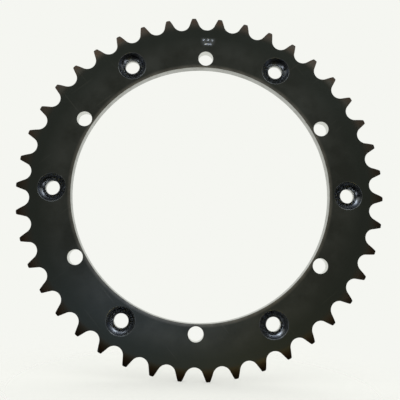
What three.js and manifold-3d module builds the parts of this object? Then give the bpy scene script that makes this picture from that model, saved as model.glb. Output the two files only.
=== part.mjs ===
// Rear sprocket for a motorcycle chain of 5/8 inch pitch: one flat steel plate with 42 teeth, an open
// centre, six countersunk holes and six plain holes. It is a single machined piece.
// Millimetres, +Z up. The axle runs along Y and the front, countersunk face looks towards -Y. The
// origin is on the axle's line, in the plane of the back face, which lies against the hub.
import * as THREE from "three";
import { mergeVertices } from "three/addons/utils/BufferGeometryUtils.js";
import Module from "manifold-3d";

// The chain: 5/8 x 1/4 inch.
const chainPitch = 15.875;
const rollerDiameter = 10.16;

// The plate.
const toothCount = 42;
const tipDiameter = 219.6;
const boreDiameter = 154;
const thickness = 5.8;

// Each gap is a round seat for a roller with straight flanks tangent to it, and the tips are rounded.
const seatRadius = 5.2;
const seatHalfAngle = THREE.MathUtils.degToRad(67);
const tipCornerRadius = 0.8;

// Both faces of a tooth curve in towards its tip, which guides the chain's side plates on.
const reliefRadius = chainPitch;
const reliefDepth = 0.13 * chainPitch;

// Two circles of bolt holes. Each starts at firstAngle, anticlockwise from the tooth on the +X axis.
const holesPerCircle = 6;
const plainHoles = {
  circleDiameter: 165.5,
  diameter: 9,
  firstAngle: THREE.MathUtils.degToRad(30),
};
const countersunkHoles = {
  circleDiameter: 176.4,
  diameter: 8.6,
  mouthDiameter: 16.8,
  coneAngle: THREE.MathUtils.degToRad(90),
  firstAngle: THREE.MathUtils.degToRad(0.6),
};

// How finely the round shapes are divided.
const boreSides = 126;
const holeSides = 24;
const seatSteps = 10;
const cornerSteps = 3;
const reliefSteps = 3;
const reliefSides = 2 * toothCount;

// How far a cutter runs past the faces that it cuts.
const overrun = 1;

const pitchRadius = chainPitch / 2 / Math.sin(Math.PI / toothCount);
const rootRadius = pitchRadius - rollerDiameter / 2;
const tipRadius = tipDiameter / 2;
const toothAngle = (2 * Math.PI) / toothCount;

const wasm = await Module();
wasm.setup();

function solidFrom(geometry) {
  const bare = geometry.clone();
  bare.deleteAttribute("normal");
  bare.deleteAttribute("uv");
  const merged = mergeVertices(bare, 1e-4);
  const mesh = new wasm.Mesh({
    numProp: 3,
    vertProperties: merged.attributes.position.array,
    triVerts: new Uint32Array(merged.index.array),
  });
  return new wasm.Manifold(mesh);
}

function geometryFrom(solid) {
  const mesh = solid.getMesh();
  const shared = new THREE.BufferGeometry();
  shared.setAttribute("position", new THREE.BufferAttribute(mesh.vertProperties, 3));
  shared.setIndex(new THREE.BufferAttribute(mesh.triVerts, 1));
  const faceted = shared.toNonIndexed();
  faceted.computeVertexNormals();
  return faceted;
}

function polarPoint(radius, angle) {
  return new THREE.Vector2(radius * Math.cos(angle), radius * Math.sin(angle));
}

function arcPoints(centre, radius, from, to, steps) {
  const points = [];
  for (let i = 0; i <= steps; i += 1) {
    const angle = THREE.MathUtils.lerp(from, to, i / steps);
    points.push(polarPoint(radius, angle).add(centre));
  }
  return points;
}

function circleOf(centre, radius, sides) {
  return new THREE.Path(arcPoints(centre, radius, 0, 2 * Math.PI, sides).slice(0, -1));
}

function holeCentres(circle) {
  const step = (2 * Math.PI) / holesPerCircle;
  const centres = [];
  for (let i = 0; i < holesPerCircle; i += 1) {
    centres.push(polarPoint(circle.circleDiameter / 2, circle.firstAngle + i * step));
  }
  return centres;
}

// A tooth centred on the +X axis and the gap that follows it anticlockwise.
function toothPoints() {
  const gapAngle = toothAngle / 2;
  const seatCentre = polarPoint(rootRadius + seatRadius, gapAngle);
  const seatFrom = gapAngle + Math.PI + seatHalfAngle;
  const seatTo = gapAngle + Math.PI - seatHalfAngle;
  const seat = arcPoints(seatCentre, seatRadius, seatFrom, seatTo, seatSteps);

  // The corner of the tip is tangent to the flank and to the tooth's flat top.
  const normalAngle = gapAngle + seatHalfAngle;
  const flankAngle = normalAngle - Math.PI / 2;
  const topCentreX = tipRadius - tipCornerRadius;
  const flankRise = topCentreX + tipCornerRadius * Math.cos(normalAngle) - seat[0].x;
  const cornerCentre = polarPoint(flankRise / Math.cos(flankAngle), flankAngle)
    .add(seat[0])
    .sub(polarPoint(tipCornerRadius, normalAngle));
  const upperCorner = arcPoints(cornerCentre, tipCornerRadius, 0, normalAngle, cornerSteps);
  const lowerCorner = upperCorner.map((point) => new THREE.Vector2(point.x, -point.y)).reverse();
  return [...lowerCorner, ...upperCorner, ...seat];
}

// The toothed blank, lying on its back face, with the open centre and the plain holes in it.
function blankGeometry() {
  const axle = new THREE.Vector2();
  const tooth = toothPoints();
  const outline = [];
  for (let i = 0; i < toothCount; i += 1) {
    for (const point of tooth) {
      outline.push(point.clone().rotateAround(axle, i * toothAngle));
    }
  }
  const shape = new THREE.Shape(outline);
  shape.holes.push(circleOf(axle, boreDiameter / 2, boreSides));
  for (const centre of holeCentres(plainHoles)) {
    shape.holes.push(circleOf(centre, plainHoles.diameter / 2, holeSides));
  }
  return new THREE.ExtrudeGeometry(shape, { depth: thickness, bevelEnabled: false });
}

// The ring of metal that the side relief takes off the back face, up to past the tips.
function reliefGeometry() {
  const width = Math.sqrt(2 * reliefRadius * reliefDepth - reliefDepth ** 2);
  const start = tipRadius - width;
  const sweep = Math.asin((width + overrun) / reliefRadius);
  const centre = new THREE.Vector2(start, reliefRadius);
  const curve = arcPoints(centre, reliefRadius, -Math.PI / 2, sweep - Math.PI / 2, reliefSteps);
  const outside = new THREE.Vector2(tipRadius + overrun, -overrun);
  const inside = new THREE.Vector2(start, -overrun);
  const profile = [inside, outside, ...curve.reverse(), inside.clone()];
  return new THREE.LatheGeometry(profile, reliefSides).rotateX(Math.PI / 2);
}

// The cutter for one countersunk hole: its straight shank and the cone above it.
function countersinkGeometry() {
  const shankRadius = countersunkHoles.diameter / 2;
  const mouthRadius = countersunkHoles.mouthDiameter / 2;
  const slope = Math.tan(countersunkHoles.coneAngle / 2);
  const coneStart = thickness - (mouthRadius - shankRadius) / slope;
  const top = thickness + overrun;
  const profile = [
    new THREE.Vector2(0, -overrun),
    new THREE.Vector2(shankRadius, -overrun),
    new THREE.Vector2(shankRadius, coneStart),
    new THREE.Vector2(mouthRadius + overrun * slope, top),
    new THREE.Vector2(0, top),
  ];
  return new THREE.LatheGeometry(profile, holeSides).rotateX(Math.PI / 2);
}

function sprocketGeometry() {
  const backRelief = reliefGeometry();
  const frontRelief = backRelief.clone().rotateX(Math.PI).translate(0, 0, thickness);
  const countersink = countersinkGeometry();
  const cutters = [backRelief, frontRelief];
  for (const centre of holeCentres(countersunkHoles)) {
    cutters.push(countersink.clone().translate(centre.x, centre.y, 0));
  }
  let solid = solidFrom(blankGeometry());
  for (const cutter of cutters) {
    solid = solid.subtract(solidFrom(cutter));
  }
  return geometryFrom(solid);
}

const blackenedSteel = new THREE.MeshStandardMaterial({
  name: "blackened_steel",
  color: 0x25272a,
  roughness: 0.38,
  metalness: 0.9,
});

const sprocket = new THREE.Mesh(sprocketGeometry(), blackenedSteel);
sprocket.name = "sprocket";
sprocket.rotation.x = Math.PI / 2;

const rearSprocket = new THREE.Group();
rearSprocket.add(sprocket);

export default rearSprocket;
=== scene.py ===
import math

import bmesh
import bpy
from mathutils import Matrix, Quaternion, Vector
from mathutils.geometry import delaunay_2d_cdt
from mathutils.kdtree import KDTree


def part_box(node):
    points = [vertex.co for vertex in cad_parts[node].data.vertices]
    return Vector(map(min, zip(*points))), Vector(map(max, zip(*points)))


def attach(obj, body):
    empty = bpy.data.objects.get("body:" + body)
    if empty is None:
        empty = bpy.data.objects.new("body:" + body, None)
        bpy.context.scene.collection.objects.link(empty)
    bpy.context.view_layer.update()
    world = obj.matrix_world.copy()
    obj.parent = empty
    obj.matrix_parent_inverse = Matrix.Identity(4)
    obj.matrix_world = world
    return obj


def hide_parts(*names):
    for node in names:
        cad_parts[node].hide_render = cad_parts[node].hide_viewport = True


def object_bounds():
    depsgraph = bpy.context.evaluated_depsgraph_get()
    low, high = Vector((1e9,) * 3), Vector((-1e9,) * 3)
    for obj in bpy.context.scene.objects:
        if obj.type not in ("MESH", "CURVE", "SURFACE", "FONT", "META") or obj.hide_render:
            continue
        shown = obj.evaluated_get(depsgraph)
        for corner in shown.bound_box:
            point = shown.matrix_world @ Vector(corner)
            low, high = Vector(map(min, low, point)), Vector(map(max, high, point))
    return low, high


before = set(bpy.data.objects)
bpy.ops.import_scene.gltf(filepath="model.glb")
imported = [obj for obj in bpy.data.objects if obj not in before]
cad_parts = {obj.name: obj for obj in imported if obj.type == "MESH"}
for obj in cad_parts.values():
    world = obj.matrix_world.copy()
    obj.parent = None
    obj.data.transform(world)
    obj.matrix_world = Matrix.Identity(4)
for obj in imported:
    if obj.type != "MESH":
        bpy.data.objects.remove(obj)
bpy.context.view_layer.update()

mm = 0.001
lowCorner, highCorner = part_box("sprocket")


def linear(hexColour):
    parts = [int(hexColour[i:i + 2], 16) / 255 for i in (1, 3, 5)]
    return [c / 12.92 if c <= 0.04045 else ((c + 0.055) / 1.055) ** 2.4 for c in parts] + [1]


def addNode(tree, kind, inputs=None, output=None, **settings):
    # returns one output of the new node: the named one, or else the first that is in use
    node = tree.nodes.new(kind)
    for name, value in settings.items():
        setattr(node, name, value)
    for name, value in (inputs or {}).items():
        if isinstance(value, bpy.types.NodeSocket):
            tree.links.new(value, node.inputs[name])
        else:
            node.inputs[name].default_value = value
    if output is not None:
        return node.outputs[output]
    return next((socket for socket in node.outputs if socket.enabled), None)


# One plate, cut from sheet: teeth for a 5/8 inch chain, an open centre and two circles of holes.
plate = {
    "teeth": 42,
    "chainPitch": 15.875 * mm,
    "rollerDiameter": 10.16 * mm,
    "seatRadius": 5.2 * mm,            # the round seat of a roller
    "seatHalfAngle": math.radians(67),
    "tipCornerRadius": 0.8 * mm,
    "reliefShare": 0.13,               # side relief of a tooth tip, as a share of the pitch
    "boreDiameter": 154 * mm,
    "edgeBreak": 0.25 * mm,            # every sharp edge is rounded by this much
    "collar": 0.2 * mm,                # a flat ring of faces beside each round edge
    "tipRadius": highCorner.x,
    "thickness": highCorner.y - lowCorner.y,
    "frontY": lowCorner.y,
}
holes = {
    "count": 6,                        # of each kind
    "plainCircle": 165.5 * mm,
    "plainDiameter": 9 * mm,
    "plainAngle": math.radians(30),
    "sunkCircle": 176.4 * mm,
    "sunkDiameter": 8.6 * mm,
    "sunkMouth": 16.8 * mm,            # a 90 degree countersink
    "sunkAngle": math.radians(0.6),
    "mouthRound": 0.35 * mm,
    "sunkHollow": 0.35 * mm,           # its side is drawn hollow by this, to mirror more of the room
    "sunkBare": 0.55,                  # how far the blackening is thinner in the countersinks
    "edgeLoss": 0.5,                   # how much of that is lost on a rounded edge
}
# Plain punch marks outside one of the plain holes. Each has, in mm, how far to the side it lies,
# its radius from the axle and its length.
punchMarks = {
    "at": [(-1.6, 94.8, 0), (1.0, 94.8, 0), (3.6, 94.8, 0), (1.0, 92.2, 3.0)],
    "halfWidth": 0.55 * mm,
    "depth": 0.4 * mm,
    # from its rim to its middle, as shares of the half width and of the depth
    "profile": [(1, 0), (0.85, 0.08), (0.45, 0.8), (0.2, 1), (0.02, 1)],
    "bare": 0.9,
    "sixth": 1,                        # which sixth of the ring carries them
}
# How finely the round shapes are divided.
steps = {
    "seat": 12, "flank": 4, "corner": 5, "across": 10, "break": 3, "wall": 3,
    "bore": 84, "hole": 48, "cone": 10, "mark": 8, "side": 10, "fill": 2.2 * mm,
    "sliver": 0.002 * mm ** 2,         # triangles smaller than this are left out
    "weld": 0.002 * mm,
    "nearness": 1e-5,                  # in mm, for the filling's own points
}
# Steel whose wall value is above this is bored or drilled, not blackened.
wallFrom = 0.6
# Most values of a noise texture lie between these.
noiseSpan = (0.3, 0.7)

toothAngle = 2 * math.pi / plate["teeth"]
rootRadius = plate["chainPitch"] / 2 / math.sin(toothAngle / 2) - plate["rollerDiameter"] / 2
reliefDepth = plate["reliefShare"] * plate["chainPitch"]
reliefWidth = math.sqrt(2 * plate["chainPitch"] * reliefDepth - reliefDepth ** 2)
reliefStart = plate["tipRadius"] - reliefWidth


def polar(radius, angle):
    return Vector((radius * math.cos(angle), radius * math.sin(angle)))


def spot(flat, depth, lay=0.0, cut=0.0, wall=0.0, edge=0.0, bare=0.0):
    # depth goes in from the front face; lay runs across the tool marks
    place = Vector((flat.x, plate["frontY"] + depth, flat.y))
    return {"place": place, "lay": lay, "cut": cut, "wall": wall, "edge": edge, "bare": bare}


def faceDepth(radius):
    # the sides of a tooth curve in by an arc of one pitch radius
    reach = radius - reliefStart
    if reach <= 0:
        return 0.0
    return plate["chainPitch"] - math.sqrt(plate["chainPitch"] ** 2 - reach ** 2)


def addGrid(part, rows):
    for row, following in zip(rows, rows[1:]):
        for i in range(len(row) - 1):
            corners = [row[i], row[i + 1], following[i + 1], following[i]]
            start = len(part["spots"])
            part["spots"].extend(corners)
            part["faces"].append(tuple(range(start, start + 4)))


def makeBase(name, part):
    mesh = bpy.data.meshes.new(name)
    mesh.from_pydata([s["place"] for s in part["spots"]], [], part["faces"])
    for key in ("lay", "cut", "wall", "edge", "bare"):
        attribute = mesh.attributes.new(key, "FLOAT", "POINT")
        attribute.data.foreach_set("value", [s[key] for s in part["spots"]])
    base = bpy.data.objects.new(name, mesh)
    bpy.context.scene.collection.objects.link(base)
    return base


def breakProfile():
    # the rounded edge from the face to the wall: how far in from the wall, and how deep
    size = plate["edgeBreak"]
    angles = [math.pi / 2 * k / steps["break"] for k in range(steps["break"] + 1)]
    return [(size - size * math.sin(a), size - size * math.cos(a)) for a in angles]


def halfTooth():
    # (point, outward normal) from the middle of a gap up to the tip of the tooth on the +X axis
    gapAngle = toothAngle / 2
    seatCentre = polar(rootRadius + plate["seatRadius"], gapAngle)
    outline = []
    for k in range(steps["seat"] + 1):
        normal = polar(1, gapAngle + plate["seatHalfAngle"] * k / steps["seat"])
        outline.append((seatCentre - plate["seatRadius"] * normal, normal))
    seatEnd, flankNormal = outline[-1]
    normalAngle = gapAngle + plate["seatHalfAngle"]
    flankAngle = normalAngle - math.pi / 2
    corner = plate["tipCornerRadius"]
    rise = plate["tipRadius"] - corner + corner * math.cos(normalAngle) - seatEnd.x
    cornerStart = seatEnd + polar(rise / math.cos(flankAngle), flankAngle)
    for k in range(1, steps["flank"]):
        outline.append((seatEnd.lerp(cornerStart, k / steps["flank"]), flankNormal))
    cornerCentre = cornerStart - corner * flankNormal
    for k in range(steps["corner"] + 1):
        normal = polar(1, normalAngle * (1 - k / steps["corner"]))
        point = cornerCentre + corner * normal
        point *= min(1, plate["tipRadius"] / point.length)
        outline.append((point, normal))
    return outline


def toothPart():
    half = halfTooth()
    size = plate["edgeBreak"]
    shares = [(1 - math.cos(math.pi * k / steps["across"])) / 2 for k in range(steps["across"] + 1)]
    part = {"spots": [], "faces": []}
    inset = [point - size * normal for point, normal in half]

    front, back = [], []
    for point in inset:
        radius, angle = point.length, math.atan2(point.y, point.x)
        row = [polar(radius, angle * (1 - 2 * share)) for share in shares]
        depth, cut = faceDepth(radius), float(radius > reliefStart)
        front.append([spot(p, depth, radius, cut) for p in row])
        back.append([spot(p, plate["thickness"] - depth, radius, cut) for p in row])
    addGrid(part, front)
    addGrid(part, back)

    # the whole outline, up one flank, across the tip and down the other
    mirrored = [(Vector((p.x, -p.y)), Vector((n.x, -n.y))) for p, n in half]
    tipAngle = math.atan2(inset[-1].y, inset[-1].x)
    across = [polar(1, tipAngle * (1 - 2 * share)) for share in shares[1:-1]]
    across = [(inset[-1].length * ray + size * ray, ray) for ray in across]
    outline = half + across + mirrored[::-1]
    lengths = [0.0]
    for (point, _), (following, _) in zip(outline, outline[1:]):
        lengths.append(lengths[-1] + (following - point).length)
    rows = []
    for (point, normal), along in zip(outline, lengths):
        along = abs(along - lengths[-1] / 2)
        rows.append(edgeRow(point, normal, along))
    addGrid(part, rows)
    return part


def edgeRow(point, normal, along):
    # from the front face over the rounded edge, down the wall and on to the back face
    front, back = [], []
    for inward, drop in breakProfile():
        flat = point - inward * normal
        depth = faceDepth(flat.length) + drop
        cut = drop / plate["edgeBreak"]
        front.append(spot(flat, depth, along, cut, 0, 1))
        back.append(spot(flat, plate["thickness"] - depth, along, cut, 0, 1))
    top, foot = front[-1]["place"].y, back[-1]["place"].y
    middle = []
    for k in range(1, steps["wall"]):
        depth = top + (foot - top) * k / steps["wall"] - plate["frontY"]
        middle.append(spot(point, depth, along, 1))
    return front + middle + back[::-1]


def plainProfile(radius):
    # (radius, depth, wall, edge) of a straight hole from the front face to the back
    rounded = breakProfile()
    front = [(radius + inward, drop, drop / plate["edgeBreak"], 1) for inward, drop in rounded]
    back = [(r, plate["thickness"] - depth, wall, edge) for r, depth, wall, edge in front[::-1]]
    top, foot = front[-1][1], back[0][1]
    middle = [(radius, top + (foot - top) * k / steps["wall"], 1, 0) for k in range(1, steps["wall"])]
    return front + middle + back


def sunkProfile():
    # a rounded mouth, the cone, and a straight shank to the back face
    mouth, shank = holes["sunkMouth"] / 2, holes["sunkDiameter"] / 2
    size, count = holes["mouthRound"], steps["break"] + 1
    start = mouth + size * math.tan(math.pi / 8)
    profile = []
    for k in range(count):
        angle = math.pi / 4 * k / (count - 1)
        profile.append((start - size * math.sin(angle), size - size * math.cos(angle), 0, 1))
    small = plate["edgeBreak"]
    foot = mouth - shank - small * math.tan(math.pi / 8) * math.sqrt(2)
    turned = []
    for k in range(count):
        angle = math.pi / 4 * (1 + k / (count - 1))
        radius = shank + small - small * math.sin(angle)
        turned.append((radius, foot + small - small * math.cos(angle), 0, 1))
    (fromRadius, fromDepth), (toRadius, toDepth) = profile[-1][:2], turned[0][:2]
    for k in range(1, steps["cone"]):
        share = k / steps["cone"]
        hollow = 4 * share * (1 - share) * holes["sunkHollow"] / math.sqrt(2)
        profile.append((fromRadius + (toRadius - fromRadius) * share + hollow,
                        fromDepth + (toDepth - fromDepth) * share + hollow, 0, 0))
    return profile + turned + plainProfile(shank)[steps["break"] + 1:]


def addRevolved(part, centre, profile, angles, bare=0.0, drilled=False):
    lengths = [0.0]
    for (r, d, *_), (nextR, nextD, *_) in zip(profile, profile[1:]):
        lengths.append(lengths[-1] + math.hypot(nextR - r, nextD - d))
    rows = []
    for (radius, depth, wall, edge), lay in zip(profile, lengths):
        shown = 1.0 if drilled and wall > wallFrom else bare * (1 - holes["edgeLoss"] * edge)
        rows.append([spot(centre + polar(radius, a), depth, lay, 1, wall, edge, shown) for a in angles])
    addGrid(part, rows)


def addCollar(part, centre, radii, depth, angles):
    # flat rings beside an edge, so that its wear fades over a short way
    rows = [[spot(centre + polar(radius, a), depth) for a in angles] for radius in radii]
    addGrid(part, rows)
    return [centre + polar(radii[-1], a) for a in angles]


def inside(point, loop):
    found = False
    for a, b in zip(loop, loop[1:] + loop[:1]):
        if (a.y > point.y) != (b.y > point.y):
            if point.x < (b.x - a.x) * (point.y - a.y) / (b.y - a.y) + a.x:
                found = not found
    return found


def addFilling(part, boundary, openings, depth):
    # triangles over the flat face between its boundary and the holes, on an even polar grid
    radii = [p.length for p in boundary]
    angles = [math.atan2(p.y, p.x) for p in boundary]
    edges, points = [], []
    for loop in [boundary, *openings]:
        start = len(points)
        points.extend(loop)
        edges.extend((start + i, start + (i + 1) % len(loop)) for i in range(len(loop)))
    rims = KDTree(len(points))
    for i, p in enumerate(points):
        rims.insert((p.x, p.y, 0), i)
    rims.balance()
    rows = math.ceil((max(radii) - min(radii)) / steps["fill"])
    columns = math.ceil((max(angles) - min(angles)) * max(radii) / steps["fill"])
    for i in range(1, rows):
        radius = min(radii) + (max(radii) - min(radii)) * i / rows
        for j in range(1, columns):
            p = polar(radius, min(angles) + (max(angles) - min(angles)) * j / columns)
            clear = rims.find((p.x, p.y, 0))[2] > steps["fill"] / 2
            if clear and not any(inside(p, loop) for loop in openings):
                points.append(p)
    scaled = [p / mm for p in points]
    corners, _, triangles, *_ = delaunay_2d_cdt(scaled, edges, [], 0, steps["nearness"], False)
    for triangle in triangles:
        flats = [corners[i] * mm for i in triangle]
        middle = sum(flats, Vector((0, 0))) / 3
        if abs((flats[1] - flats[0]).cross(flats[2] - flats[0])) < steps["sliver"]:
            continue
        if inside(middle, boundary) and not any(inside(middle, loop) for loop in openings):
            start = len(part["spots"])
            part["spots"].extend(spot(flat, depth) for flat in flats)
            part["faces"].append((start, start + 1, start + 2))


def addPunchMark(part, across, radius, length):
    # a sunk dot, or a dash where it has a length; returns its outline on the face
    angle = holes["plainAngle"] - across / radius
    centre, along = polar(radius * mm, angle), polar(1, angle - math.pi / 2)
    ends = []
    count = 2 * steps["mark"]
    for k in range(count):
        turn = 2 * math.pi * k / count
        ray = polar(1, turn + angle)
        side = along * (length * mm / 2) * (1 if ray.dot(along) > 0 else -1)
        ends.append((ray, side))
    rows = []
    for share, drop in punchMarks["profile"]:
        row = []
        for ray, side in ends + ends[:1]:
            flat = centre + side + ray * punchMarks["halfWidth"] * share
            row.append(spot(flat, punchMarks["depth"] * drop, bare=punchMarks["bare"]))
        rows.append(row)
    addGrid(part, rows)
    start = len(part["spots"])
    part["spots"].extend(rows[-1][:-1])
    part["faces"].append(tuple(range(start, start + count)))
    return [Vector((s["place"].x, s["place"].z)) for s in rows[0][:-1]]


def sixthPart(marked):
    # a sixth of the ring inside the teeth: seven teeth wide, from one gap to another
    part = {"spots": [], "faces": []}
    thickness = plate["thickness"]
    first = -1.5 * toothAngle
    sweep = 2 * math.pi / holes["count"]
    axle = Vector((0, 0))
    boreAngles = [first + sweep * k / steps["bore"] for k in range(steps["bore"] + 1)]
    turns = [2 * math.pi * k / steps["hole"] for k in range(steps["hole"] + 1)]
    boreProfile = plainProfile(plate["boreDiameter"] / 2)
    addRevolved(part, axle, boreProfile, boreAngles)
    plainCentre = polar(holes["plainCircle"] / 2, holes["plainAngle"])
    plainHole = plainProfile(holes["plainDiameter"] / 2)
    addRevolved(part, plainCentre, plainHole, turns, drilled=True)
    sunkCentre = polar(holes["sunkCircle"] / 2, holes["sunkAngle"])
    sunkHole = sunkProfile()
    addRevolved(part, sunkCentre, sunkHole, turns, bare=holes["sunkBare"], drilled=True)

    shares = [(1 - math.cos(math.pi * k / steps["across"])) / 2 for k in range(steps["across"])]
    outerAngles = [first + toothAngle * (tooth + share)
                   for tooth in range(plate["teeth"] // holes["count"]) for share in shares]
    outerAngles.append(first + sweep)
    outerRadius = rootRadius - plate["edgeBreak"]
    for depth, end in ((0, 0), (thickness, -1)):
        rim = [boreProfile[end][0], boreProfile[end][0] + plate["collar"]]
        inner = addCollar(part, axle, rim, depth, boreAngles)
        outer = [polar(outerRadius, a) for a in outerAngles]
        reach = outerRadius - rim[1]
        radii = [rim[1] + reach * k / steps["side"] for k in range(1, steps["side"])]
        boundary = inner + [polar(r, first + sweep) for r in radii]
        boundary += outer[::-1] + [polar(r, first) for r in radii[::-1]]
        openings = []
        for centre, profile in ((plainCentre, plainHole), (sunkCentre, sunkHole)):
            radius = profile[end][0]
            ring = [radius, radius + plate["collar"]]
            openings.append(addCollar(part, centre, ring, depth, turns)[:-1])
        if marked and depth == 0:
            openings += [addPunchMark(part, *mark) for mark in punchMarks["at"]]
        addFilling(part, boundary, openings, depth)
    return part


def addRound(tree, geometry, count, selection=None):
    # copies of a shape, turned round the axle one after another
    points = addNode(tree, "GeometryNodePoints", {"Count": count})
    index = addNode(tree, "GeometryNodeInputIndex")
    step = addNode(tree, "ShaderNodeMath", {0: -2 * math.pi, 1: count}, operation="DIVIDE")
    turn = addNode(tree, "ShaderNodeMath", {0: index, 1: step}, operation="MULTIPLY")
    rotation = addNode(tree, "ShaderNodeCombineXYZ", {"Y": turn})
    inputs = {"Points": points, "Instance": geometry, "Rotation": rotation}
    if selection:
        inputs["Selection"] = selection
    return addNode(tree, "GeometryNodeInstanceOnPoints", inputs)


def plateTree():
    tree = bpy.data.node_groups.new("toothedPlateRounds", "GeometryNodeTree")
    kinds = [("Tooth", "Geometry"), ("Plain Sixth", "Object"), ("Marked Sixth", "Object"),
             ("Teeth", "Int"), ("Sixths", "Int"), ("Marked Place", "Int"), ("Weld", "Float"),
             ("Face Steel", "Material"), ("Wall Steel", "Material")]
    for name, kind in kinds:
        tree.interface.new_socket(name, in_out="INPUT", socket_type="NodeSocket" + kind)
    tree.interface.new_socket("Plate", in_out="OUTPUT", socket_type="NodeSocketGeometry")
    given = tree.nodes.new("NodeGroupInput").outputs
    teeth = addRound(tree, given["Tooth"], given["Teeth"])

    index = addNode(tree, "GeometryNodeInputIndex")
    places = {2: index, 3: given["Marked Place"]}
    chosen = addNode(tree, "FunctionNodeCompare", places, data_type="INT", operation="EQUAL")
    others = addNode(tree, "FunctionNodeBooleanMath", {0: chosen}, operation="NOT")
    rings = []
    for name, selection in (("Plain Sixth", others), ("Marked Sixth", chosen)):
        sixth = addNode(tree, "GeometryNodeObjectInfo", {"Object": given[name]}, "Geometry")
        rings.append(addRound(tree, sixth, given["Sixths"], selection))

    join = tree.nodes.new("GeometryNodeJoinGeometry")
    for geometry in [teeth, *rings]:
        tree.links.new(geometry, join.inputs[0])
    real = addNode(tree, "GeometryNodeRealizeInstances", {"Geometry": join.outputs[0]})
    welded = addNode(tree, "GeometryNodeMergeByDistance",
                     {"Geometry": real, "Distance": given["Weld"]})
    faced = addNode(tree, "GeometryNodeSetMaterial",
                    {"Geometry": welded, "Material": given["Face Steel"]})
    wall = addNode(tree, "GeometryNodeInputNamedAttribute", {"Name": "wall"}, data_type="FLOAT")
    onWall = addNode(tree, "FunctionNodeCompare", {0: wall, 1: wallFrom},
                     data_type="FLOAT", operation="GREATER_THAN")
    done = addNode(tree, "GeometryNodeSetMaterial", {
        "Geometry": faced, "Material": given["Wall Steel"], "Selection": onWall})
    output = tree.nodes.new("NodeGroupOutput")
    tree.links.new(done, output.inputs["Plate"])
    return tree


def applyTree(base, tree, values):
    modifier = base.modifiers.new("rounds", "NODES")
    modifier.node_group = tree
    for socket in tree.interface.items_tree:
        if socket.in_out == "INPUT" and socket.name in values:
            modifier[socket.identifier] = values[socket.name]
    bpy.context.view_layer.update()
    graph = bpy.context.evaluated_depsgraph_get()
    mesh = bpy.data.meshes.new_from_object(base.evaluated_get(graph), preserve_all_data_layers=True,
                                           depsgraph=graph)
    base.modifiers.clear()
    return mesh


def finishMesh(mesh):
    # outward faces, flat where the plate is flat, and a fading mask beside every edge
    mask = {"flat": 0.99999, "onEdge": 0.5, "fade": 0.6 * mm}
    shape = bmesh.new()
    shape.from_mesh(mesh)
    bmesh.ops.recalc_face_normals(shape, faces=shape.faces)
    openEdges = sum(not edge.is_manifold for edge in shape.edges)
    shape.to_mesh(mesh)
    shape.free()
    curved = [abs(polygon.normal.y) < mask["flat"] for polygon in mesh.polygons]
    mesh.polygons.foreach_set("use_smooth", curved)
    edgeValues = [0.0] * len(mesh.vertices)
    mesh.attributes["edge"].data.foreach_get("value", edgeValues)
    onEdge = [v for v, value in zip(mesh.vertices, edgeValues) if value > mask["onEdge"]]
    rims = KDTree(len(onEdge))
    for i, vertex in enumerate(onEdge):
        rims.insert(vertex.co, i)
    rims.balance()
    worn = [math.exp(-rims.find(vertex.co)[2] / mask["fade"]) for vertex in mesh.vertices]
    wear = mesh.attributes.new("wear", "FLOAT", "POINT")
    wear.data.foreach_set("value", worn)
    mesh.update()
    return openEdges


def newMaterial(name):
    material = bpy.data.materials.new(name)
    material.use_nodes = True
    tree = material.node_tree
    tree.nodes.clear()
    return material, tree, addNode(tree, "ShaderNodeTexCoord", output="Object")


def closeMaterial(material, tree, colour, roughness, normal):
    shader = addNode(tree, "ShaderNodeBsdfPrincipled", {
        "Base Color": colour, "Metallic": 1, "Roughness": roughness, "Normal": normal})
    addNode(tree, "ShaderNodeOutputMaterial", {"Surface": shader})
    return material


def hairScratches(tree, place, turn):
    # noise drawn out into a few thin streaks that lie at an angle on the face
    streak = {"length": 40 * mm, "spacing": 1.2 * mm, "from": 0.72, "to": 0.76}
    turned = addNode(tree, "ShaderNodeVectorRotate", {"Vector": place, "Angle": turn},
                     rotation_type="Y_AXIS")
    drawn = addNode(tree, "ShaderNodeMapping", {
        "Vector": turned, "Scale": (1 / streak["length"], 1, 1 / streak["spacing"])})
    streaks = addNode(tree, "ShaderNodeTexNoise", {"Vector": drawn, "Scale": 1, "Detail": 1})
    return addNode(tree, "ShaderNodeMapRange", {
        "Value": streaks, "From Min": streak["from"], "From Max": streak["to"]})


def toolMarks(tree, feed, size):
    # fine rings or lines one feed apart, only where the steel was cut
    lay = addNode(tree, "ShaderNodeAttribute", output="Fac", attribute_name="lay")
    cut = addNode(tree, "ShaderNodeAttribute", output="Fac", attribute_name="cut")
    phase = addNode(tree, "ShaderNodeMath", {0: lay, 1: 2 * math.pi / feed}, operation="MULTIPLY")
    wave = addNode(tree, "ShaderNodeMath", {0: phase}, operation="SINE")
    marks = addNode(tree, "ShaderNodeMath", {0: wave, 1: cut}, operation="MULTIPLY")
    return addNode(tree, "ShaderNodeMath", {0: marks, 1: size}, operation="MULTIPLY")


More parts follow.
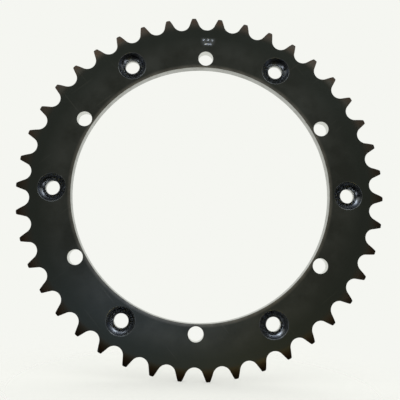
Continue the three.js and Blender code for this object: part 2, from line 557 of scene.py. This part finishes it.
def blackOxidePlate():
    # Hot-blackened, oiled rolled steel. It gives a near-black satin with a soft mirror in it,
    # slightly cloudy, browner on the teeth, with steel just showing on the edges.
    boreRadius = plate["boreDiameter"] / 2
    finish = {
        "dark": "#232420", "light": "#2c2d29", "outer": "#21231f", "temper": "#271b10",
        "worn": "#6f6a60", "steel": "#a9adb2",
        "grain": 0.8 * mm,             # about 0.15 mm on the steel, drawn coarser so that it shows
        "cloud": 16 * mm,
        "cloudSpan": (0.35, 0.65),
        "patch": 5 * mm,
        "patchy": (0.4, 0.9),          # how much of the brown and the wear shows, in patches
        "outerFrom": 86 * mm,
        "outerTo": 97 * mm,
        "temperFrom": reliefStart - 1 * mm,
        "temperTo": plate["tipRadius"] - 3 * mm,
        "wornFrom": 0.5,
        "edgeShown": 0.16,             # how much worn steel shows on an edge
        "rimFrom": boreRadius + 0.4 * mm,
        "rimTo": boreRadius + 2.2 * mm,
        "rimShown": 0.45,              # and beside the bore
        "hairTurns": (0.7, 2.3),
        "hairShown": 0.06,
        "satin": (0.27, 0.33),         # roughness of the face, and what the others add to it
        "grainRough": 0.1,
        "polishRough": -0.13,
        "toothRough": 0.16,
        "feed": 0.45 * mm,
        "feedHeight": 0.12,
        "grainHeight": 0.6,
        "hairHeight": -0.4,
        "relief": (0.35, 0.02),        # strength on the face and in the smooth countersinks
        "reliefDepth": 0.03 * mm,
    }
    material, tree, place = newMaterial("blackOxidePlate")
    grain = addNode(tree, "ShaderNodeTexNoise", {
        "Vector": place, "Scale": 1 / finish["grain"], "Detail": 4, "Roughness": 0.6})
    cloud = addNode(tree, "ShaderNodeTexNoise", {
        "Vector": place, "Scale": 1 / finish["cloud"], "Detail": 4, "Roughness": 0.6})
    clouded = addNode(tree, "ShaderNodeMapRange", {
        "Value": cloud, "From Min": finish["cloudSpan"][0], "From Max": finish["cloudSpan"][1]})
    colour = addNode(tree, "ShaderNodeMix", {
        0: clouded, 6: linear(finish["dark"]), 7: linear(finish["light"])}, data_type="RGBA")

    # the face is a little darker out towards the teeth
    flat = addNode(tree, "ShaderNodeVectorMath", {0: place, 1: (1, 0, 1)}, operation="MULTIPLY")
    radius = addNode(tree, "ShaderNodeVectorMath", {0: flat}, operation="LENGTH")
    outer = addNode(tree, "ShaderNodeMapRange", {
        "Value": radius, "From Min": finish["outerFrom"], "From Max": finish["outerTo"]})
    colour = addNode(tree, "ShaderNodeMix", {
        0: outer, 6: colour, 7: linear(finish["outer"])}, data_type="RGBA")

    # the teeth are browner, as if they had been hardened before the blackening
    tooth = addNode(tree, "ShaderNodeMapRange", {
        "Value": radius, "From Min": finish["temperFrom"], "From Max": finish["temperTo"]})
    patches = addNode(tree, "ShaderNodeTexNoise", {"Vector": place, "Scale": 1 / finish["patch"]})
    patchy = addNode(tree, "ShaderNodeMapRange", {
        "Value": patches, "From Min": noiseSpan[0], "From Max": noiseSpan[1],
        "To Min": finish["patchy"][0], "To Max": finish["patchy"][1]})
    tempered = addNode(tree, "ShaderNodeMath", {0: tooth, 1: patchy}, operation="MULTIPLY")
    colour = addNode(tree, "ShaderNodeMix", {
        0: tempered, 6: colour, 7: linear(finish["temper"])}, data_type="RGBA")

    # the blackening is thin in the countersinks and nearly gone in the punch marks
    bare = addNode(tree, "ShaderNodeAttribute", output="Fac", attribute_name="bare")
    thin = addNode(tree, "ShaderNodeMath", {0: bare, 1: 2}, operation="POWER")
    colour = addNode(tree, "ShaderNodeMix", {
        0: thin, 6: colour, 7: linear(finish["steel"])}, data_type="RGBA")

    # edges rubbed by handling, in patches
    wear = addNode(tree, "ShaderNodeAttribute", output="Fac", attribute_name="wear")
    rubbed = addNode(tree, "ShaderNodeMath", {0: wear, 1: patchy}, operation="MULTIPLY")
    shown = addNode(tree, "ShaderNodeMapRange", {
        "Value": rubbed, "From Min": finish["wornFrom"], "From Max": 1,
        "To Min": 0, "To Max": finish["edgeShown"]})
    # beside the bore the rubbing reaches further on to the face
    rim = addNode(tree, "ShaderNodeMapRange", {
        "Value": radius, "From Min": finish["rimFrom"], "From Max": finish["rimTo"],
        "To Min": finish["rimShown"], "To Max": 0})
    rimShown = addNode(tree, "ShaderNodeMath", {0: rim, 1: patchy}, operation="MULTIPLY")
    shown = addNode(tree, "ShaderNodeMath", {0: shown, 1: rimShown}, operation="MAXIMUM")
    colour = addNode(tree, "ShaderNodeMix", {
        0: shown, 6: colour, 7: linear(finish["worn"])}, data_type="RGBA")

    # hair scratches are 0.1 mm wide on the steel and drawn at 0.3 mm
    oneWay, otherWay = (hairScratches(tree, place, turn) for turn in finish["hairTurns"])
    hair = addNode(tree, "ShaderNodeMath", {0: oneWay, 1: otherWay}, operation="MAXIMUM")
    faint = addNode(tree, "ShaderNodeMath", {0: hair, 1: finish["hairShown"]}, operation="MULTIPLY")
    colour = addNode(tree, "ShaderNodeMix", {
        0: faint, 6: colour, 7: linear(finish["worn"])}, data_type="RGBA")

    # the face is a satin that varies a little; the countersinks are smoother, the teeth rougher
    satin = addNode(tree, "ShaderNodeMapRange", {
        "Value": cloud, "From Min": noiseSpan[0], "From Max": noiseSpan[1],
        "To Min": finish["satin"][0], "To Max": finish["satin"][1]})
    grained = addNode(tree, "ShaderNodeMath", {
        0: grain, 1: finish["grainRough"], 2: satin}, operation="MULTIPLY_ADD")
    polish = addNode(tree, "ShaderNodeMapRange", {"Value": bare, "From Max": holes["sunkBare"]})
    smooth = addNode(tree, "ShaderNodeMath", {
        0: polish, 1: finish["polishRough"], 2: grained}, operation="MULTIPLY_ADD")
    roughness = addNode(tree, "ShaderNodeMath", {
        0: tooth, 1: finish["toothRough"], 2: smooth}, operation="MULTIPLY_ADD")
    marks = toolMarks(tree, finish["feed"], finish["feedHeight"])
    relief = addNode(tree, "ShaderNodeMath", {
        0: grain, 1: finish["grainHeight"], 2: marks}, operation="MULTIPLY_ADD")
    relief = addNode(tree, "ShaderNodeMath", {
        0: hair, 1: finish["hairHeight"], 2: relief}, operation="MULTIPLY_ADD")
    strength = addNode(tree, "ShaderNodeMapRange", {
        "Value": polish, "To Min": finish["relief"][0], "To Max": finish["relief"][1]})
    normal = addNode(tree, "ShaderNodeBump", {
        "Height": relief, "Strength": strength, "Distance": finish["reliefDepth"]})
    return closeMaterial(material, tree, colour, roughness, normal)


def boredSteelWall():
    # Steel bored and drilled after blackening, and oiled. It gives a light grey wall with fine
    # tool rings in it, brightest where it is seen along its surface.
    finish = {
        "dark": "#9b9c99", "light": "#b7b8b4", "stain": "#6d685e", "drilled": "#d3d4d0",
        "grain": 0.8 * mm,             # about 0.15 mm on the steel, as on the face
        "cloud": 9 * mm,
        "spot": 4 * mm,
        "spotSpan": (0.5, 0.8),
        "stained": 0.5,                # how strong the darkest stain is
        "feed": 0.5 * mm,              # about 0.15 mm on the steel, drawn coarser so that it shows
        "feedHeight": 0.6,
        "feedRough": 0.05,
        "ground": (0.26, 0.36),        # roughness between the tool rings
        "grainHeight": 0.4,
        "relief": 0.25,
        "reliefDepth": 0.02 * mm,
    }
    material, tree, place = newMaterial("boredSteelWall")
    grain = addNode(tree, "ShaderNodeTexNoise", {
        "Vector": place, "Scale": 1 / finish["grain"], "Detail": 4, "Roughness": 0.6})
    cloud = addNode(tree, "ShaderNodeTexNoise", {"Vector": place, "Scale": 1 / finish["cloud"]})
    colour = addNode(tree, "ShaderNodeMix", {
        0: cloud, 6: linear(finish["dark"]), 7: linear(finish["light"])}, data_type="RGBA")
    spots = addNode(tree, "ShaderNodeTexNoise", {"Vector": place, "Scale": 1 / finish["spot"]})
    stained = addNode(tree, "ShaderNodeMapRange", {
        "Value": spots, "From Min": finish["spotSpan"][0], "From Max": finish["spotSpan"][1],
        "To Min": 0, "To Max": finish["stained"]})
    colour = addNode(tree, "ShaderNodeMix", {
        0: stained, 6: colour, 7: linear(finish["stain"])}, data_type="RGBA")
    # the drilled holes are the brightest
    drilled = addNode(tree, "ShaderNodeAttribute", output="Fac", attribute_name="bare")
    colour = addNode(tree, "ShaderNodeMix", {
        0: drilled, 6: colour, 7: linear(finish["drilled"])}, data_type="RGBA")
    marks = toolMarks(tree, finish["feed"], finish["feedHeight"])
    ground = addNode(tree, "ShaderNodeMapRange", {
        "Value": grain, "From Min": noiseSpan[0], "From Max": noiseSpan[1],
        "To Min": finish["ground"][0], "To Max": finish["ground"][1]})
    roughness = addNode(tree, "ShaderNodeMath", {
        0: marks, 1: finish["feedRough"], 2: ground}, operation="MULTIPLY_ADD")
    relief = addNode(tree, "ShaderNodeMath", {
        0: grain, 1: finish["grainHeight"], 2: marks}, operation="MULTIPLY_ADD")
    normal = addNode(tree, "ShaderNodeBump", {
        "Height": relief, "Strength": finish["relief"], "Distance": finish["reliefDepth"]})
    return closeMaterial(material, tree, colour, roughness, normal)


def paleSweep():
    # Matt backdrop paper: pale, without a sheen, and it runs out into the bright room.
    finish = {"paper": "#eeeeea", "sheer": 0.5, "fadeFrom": 0.02, "fadeTo": 0.2}
    material, tree, place = newMaterial("paleSweep")
    paper = addNode(tree, "ShaderNodeBsdfDiffuse", {"Color": linear(finish["paper"])})
    clear = addNode(tree, "ShaderNodeBsdfTransparent")
    distance = addNode(tree, "ShaderNodeVectorMath", {0: place}, operation="LENGTH")
    fade = addNode(tree, "ShaderNodeMapRange", {
        "Value": distance, "From Min": finish["fadeFrom"], "From Max": finish["fadeTo"],
        "To Min": finish["sheer"]}, interpolation_type="SMOOTHSTEP")
    mixed = addNode(tree, "ShaderNodeMixShader", {0: fade, 1: paper, 2: clear})
    addNode(tree, "ShaderNodeOutputMaterial", {"Surface": mixed})
    return material


print("base shapes: a tooth and two sixths of the ring")
toothBase = makeBase("toothBase", toothPart())
plainSixth = makeBase("plainSixth", sixthPart(False))
markedSixth = makeBase("markedSixth", sixthPart(True))

print("the plate, by copies round the axle")
plateMesh = applyTree(toothBase, plateTree(), {
    "Plain Sixth": plainSixth,
    "Marked Sixth": markedSixth,
    "Teeth": plate["teeth"],
    "Sixths": holes["count"],
    "Marked Place": punchMarks["sixth"],
    "Weld": steps["weld"],
    "Face Steel": blackOxidePlate(),
    "Wall Steel": boredSteelWall(),
})
openEdges = finishMesh(plateMesh)
toothedPlate = bpy.data.objects.new("toothedPlate", plateMesh)
bpy.context.scene.collection.objects.link(toothedPlate)
for base in (toothBase, plainSixth, markedSixth):
    bpy.data.objects.remove(base)
print(f"{len(plateMesh.polygons)} faces, {openEdges} open edges")
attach(toothedPlate, "root")
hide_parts("sprocket")

# A round sheet of paper under the lowest teeth. The steel doesn't mirror it.
paper = {"radius": 1.0, "sides": 96}
shape = bmesh.new()
bmesh.ops.create_circle(shape, cap_ends=True, radius=paper["radius"], segments=paper["sides"])
floorMesh = bpy.data.meshes.new("floor")
shape.to_mesh(floorMesh)
shape.free()
floorMesh.materials.append(paleSweep())
floor = bpy.data.objects.new("floor", floorMesh)
floor.location.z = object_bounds()[0].z
floor.visible_glossy = floor.visible_shadow = False
bpy.context.scene.collection.objects.link(floor)

# Soft studio light: a bright room, and panels that only the steel mirrors.
room = {"colour": "#f5f6f1", "strength": 1.0}
panels = {
    "softboxRight": {"place": (0.46, -0.44, 0.74), "size": (0.55, 0.65), "colour": "#eaf2ff",
                     "watts": 7.5},
    "softboxLeft": {"place": (-0.46, -0.44, 0.74), "size": (0.55, 0.65), "colour": "#eaf2ff",
                    "watts": 7.5},
    "fillRight": {"place": (0.5, -0.4, -0.17), "size": (0.18, 0.18), "colour": "#eef2ff", "watts": 0.4},
    "fillLeft": {"place": (-0.5, -0.4, -0.17), "size": (0.18, 0.18), "colour": "#eef2ff", "watts": 0.4},
    "overhead": {"place": (0, -0.14, 0.85), "size": (0.5, 0.6), "colour": "#ccd6ee", "watts": 1.8},
    "underCamera": {"place": (-0.05, -0.33, -0.1), "size": (0.2, 0.07), "colour": "#b4ccff",
                    "watts": 0.17},
    "warmCard": {"place": (0.2, -0.8, -0.47), "size": (0.35, 0.12), "colour": "#d8c468", "watts": 2},
}
# Black flags that only the steel mirrors. They keep the upper sides of the countersinks dark.
flags = {
    "flagBelow": {"place": (0, -0.12, -0.28), "turn": 0, "size": (1.3, 0.46)},
    "flagRight": {"place": (0.65, -0.2, -0.08), "turn": 90, "size": (0.55, 0.6)},
    "flagLeft": {"place": (-0.65, -0.2, -0.08), "turn": 90, "size": (0.55, 0.6)},
}
world = bpy.data.worlds.new("brightRoom")
world.use_nodes = True
background = world.node_tree.nodes["Background"]
background.inputs["Color"].default_value = linear(room["colour"])
background.inputs["Strength"].default_value = room["strength"]
bpy.context.scene.world = world
bpy.context.scene.view_settings.view_transform = "Standard"
for name, panel in panels.items():
    light = bpy.data.lights.new(name, "AREA")
    light.shape = "RECTANGLE"
    light.size, light.size_y = panel["size"]
    light.color = linear(panel["colour"])[:3]
    light.energy = panel["watts"]
    lamp = bpy.data.objects.new(name, light)
    lamp.location = panel["place"]
    lamp.rotation_euler = (-lamp.location).to_track_quat("-Z", "Y").to_euler()
    lamp.visible_camera = False
    lamp.visible_diffuse = False
    bpy.context.scene.collection.objects.link(lamp)

# A wide soft light from above, which the steel doesn't mirror.
daylight = {"strength": 0.7, "angle": math.radians(80)}
paperLight = bpy.data.lights.new("paperLight", "SUN")
paperLight.energy = daylight["strength"]
paperLight.angle = daylight["angle"]
paperLamp = bpy.data.objects.new("paperLight", paperLight)
paperLamp.visible_glossy = False
bpy.context.scene.collection.objects.link(paperLamp)

feltColour = "#0c0c0c"
feltMaterial, feltTree, _ = newMaterial("blackFelt")
felt = addNode(feltTree, "ShaderNodeBsdfDiffuse", {"Color": linear(feltColour)})
addNode(feltTree, "ShaderNodeOutputMaterial", {"Surface": felt})
for name, flag in flags.items():
    shape = bmesh.new()
    bmesh.ops.create_grid(shape, x_segments=1, y_segments=1, size=0.5)
    bmesh.ops.scale(shape, verts=shape.verts, vec=(*flag["size"], 1))
    flagMesh = bpy.data.meshes.new(name)
    shape.to_mesh(flagMesh)
    shape.free()
    flagMesh.materials.append(feltMaterial)
    card = bpy.data.objects.new(name, flagMesh)
    card.location = flag["place"]
    card.rotation_euler.y = math.radians(flag["turn"])
    card.visible_camera = card.visible_diffuse = card.visible_shadow = False
    bpy.context.scene.collection.objects.link(card)

# The camera stands close in front of the plate, a little below its middle, and looks up at it.
view = {
    "place": (-6.84, -294.29, -42.66),  # in mm, as the aim is
    "aim": (-0.38, -5.8, -5.15),
    "roll": math.radians(2.1),
    "lens": 44.2,
    "sensor": 36,
    "near": 0.01,
    "far": 20,
}
lens = bpy.data.cameras.new("camera")
lens.lens = view["lens"]
lens.sensor_width = view["sensor"]
camera = bpy.data.objects.new("camera", lens)
camera.location = Vector(view["place"]) * mm
sight = (Vector(view["aim"]) - Vector(view["place"])).to_track_quat("-Z", "Y")
camera.rotation_mode = "QUATERNION"
camera.rotation_quaternion = sight @ Quaternion((0, 0, 1), view["roll"])
lens.clip_start = view["near"]
lens.clip_end = view["far"]
bpy.context.scene.collection.objects.link(camera)
bpy.context.scene.camera = camera
